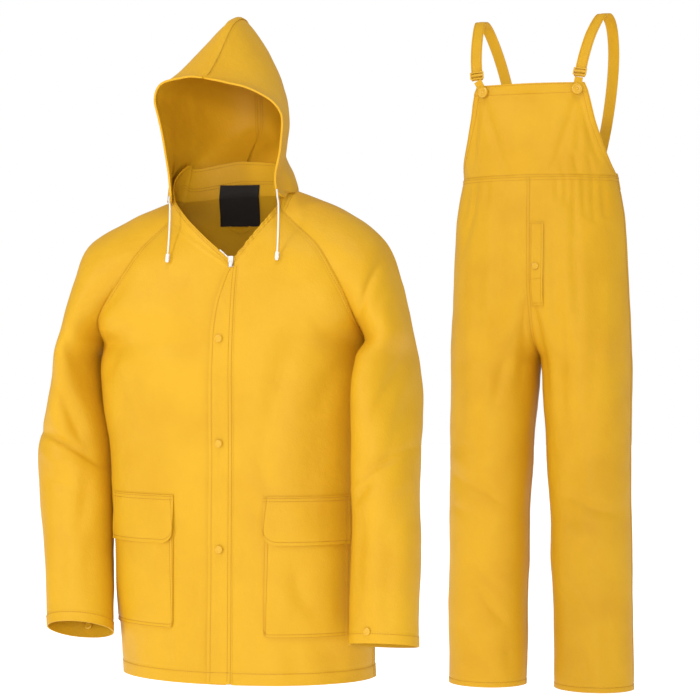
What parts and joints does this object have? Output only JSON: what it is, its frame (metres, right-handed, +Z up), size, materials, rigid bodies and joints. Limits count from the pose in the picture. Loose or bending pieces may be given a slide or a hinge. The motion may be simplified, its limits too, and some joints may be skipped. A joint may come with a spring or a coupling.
{
  "type": "rain suit",
  "caption": "Two-piece yellow rain suit, worn hollow: a hooded raglan jacket with a storm flap and patch pockets, and bib overalls with shoulder straps.",
  "frame": {"origin": "middle of the jacket's neck, where the wearer's neck and shoulders hold it up", "axes": "+X to the viewer's right, +Y away from the viewer, +Z up; the jacket is turned 13 degrees and the overalls 18 degrees towards -X"},
  "size_m": [1.184, 1.399, 1.492],
  "materials": {
    "rain_cloth": "satin",
    "yellow_plastic": "gloss",
    "white_plastic": "satin",
    "white_cord": "matte",
    "label_cloth": "matte"
  },
  "bodies": {
    "garments": {"jacket_front_right": "rain_cloth", "jacket_front_left": "rain_cloth", "jacket_back": "rain_cloth", "sleeve_front_right": "rain_cloth", "sleeve_back_right": "rain_cloth", "sleeve_front_left": "rain_cloth", "sleeve_back_left": "rain_cloth", "collar": "rain_cloth", "hood_right": "rain_cloth", "hood_left": "rain_cloth", "storm_flap": "rain_cloth", "pocket_right": "rain_cloth", "pocket_left": "rain_cloth", "pocket_flap_right": "rain_cloth", "pocket_flap_left": "rain_cloth", "hanger_loop": "rain_cloth", "bib": "rain_cloth", "leg_front_left": "rain_cloth", "leg_back_left": "rain_cloth", "leg_front_right": "rain_cloth", "leg_back_right": "rain_cloth", "fly_placket": "rain_cloth", "strap_right": "rain_cloth", "strap_left": "rain_cloth", "strap_tab_right": "rain_cloth", "strap_tab_left": "rain_cloth", "snap_top": "yellow_plastic", "snap_middle": "yellow_plastic", "snap_bottom": "yellow_plastic", "cuff_snap_right": "yellow_plastic", "cuff_snap_left": "yellow_plastic", "fly_snap": "yellow_plastic", "bib_button_right": "yellow_plastic", "bib_button_left": "yellow_plastic", "buckle_right": "yellow_plastic", "buckle_left": "yellow_plastic", "zip_chain": "white_plastic", "zip_slider": "white_plastic", "cord_tip_right": "white_plastic", "cord_tip_left": "white_plastic", "drawcord_right": "white_cord", "drawcord_left": "white_cord", "neck_label": "label_cloth"},
    "zip_pull": {"zip_pull": "white_plastic"}
  },
  "joints": [
    {"name": "zip_pull_hinge", "type": "hinge", "parent": "garments", "child": "zip_pull", "pos_m": [-0.02655, -0.13724, -0.093], "axis": [-0.9744, 0.225, 0], "range_deg": [0, 150]}
  ]
}
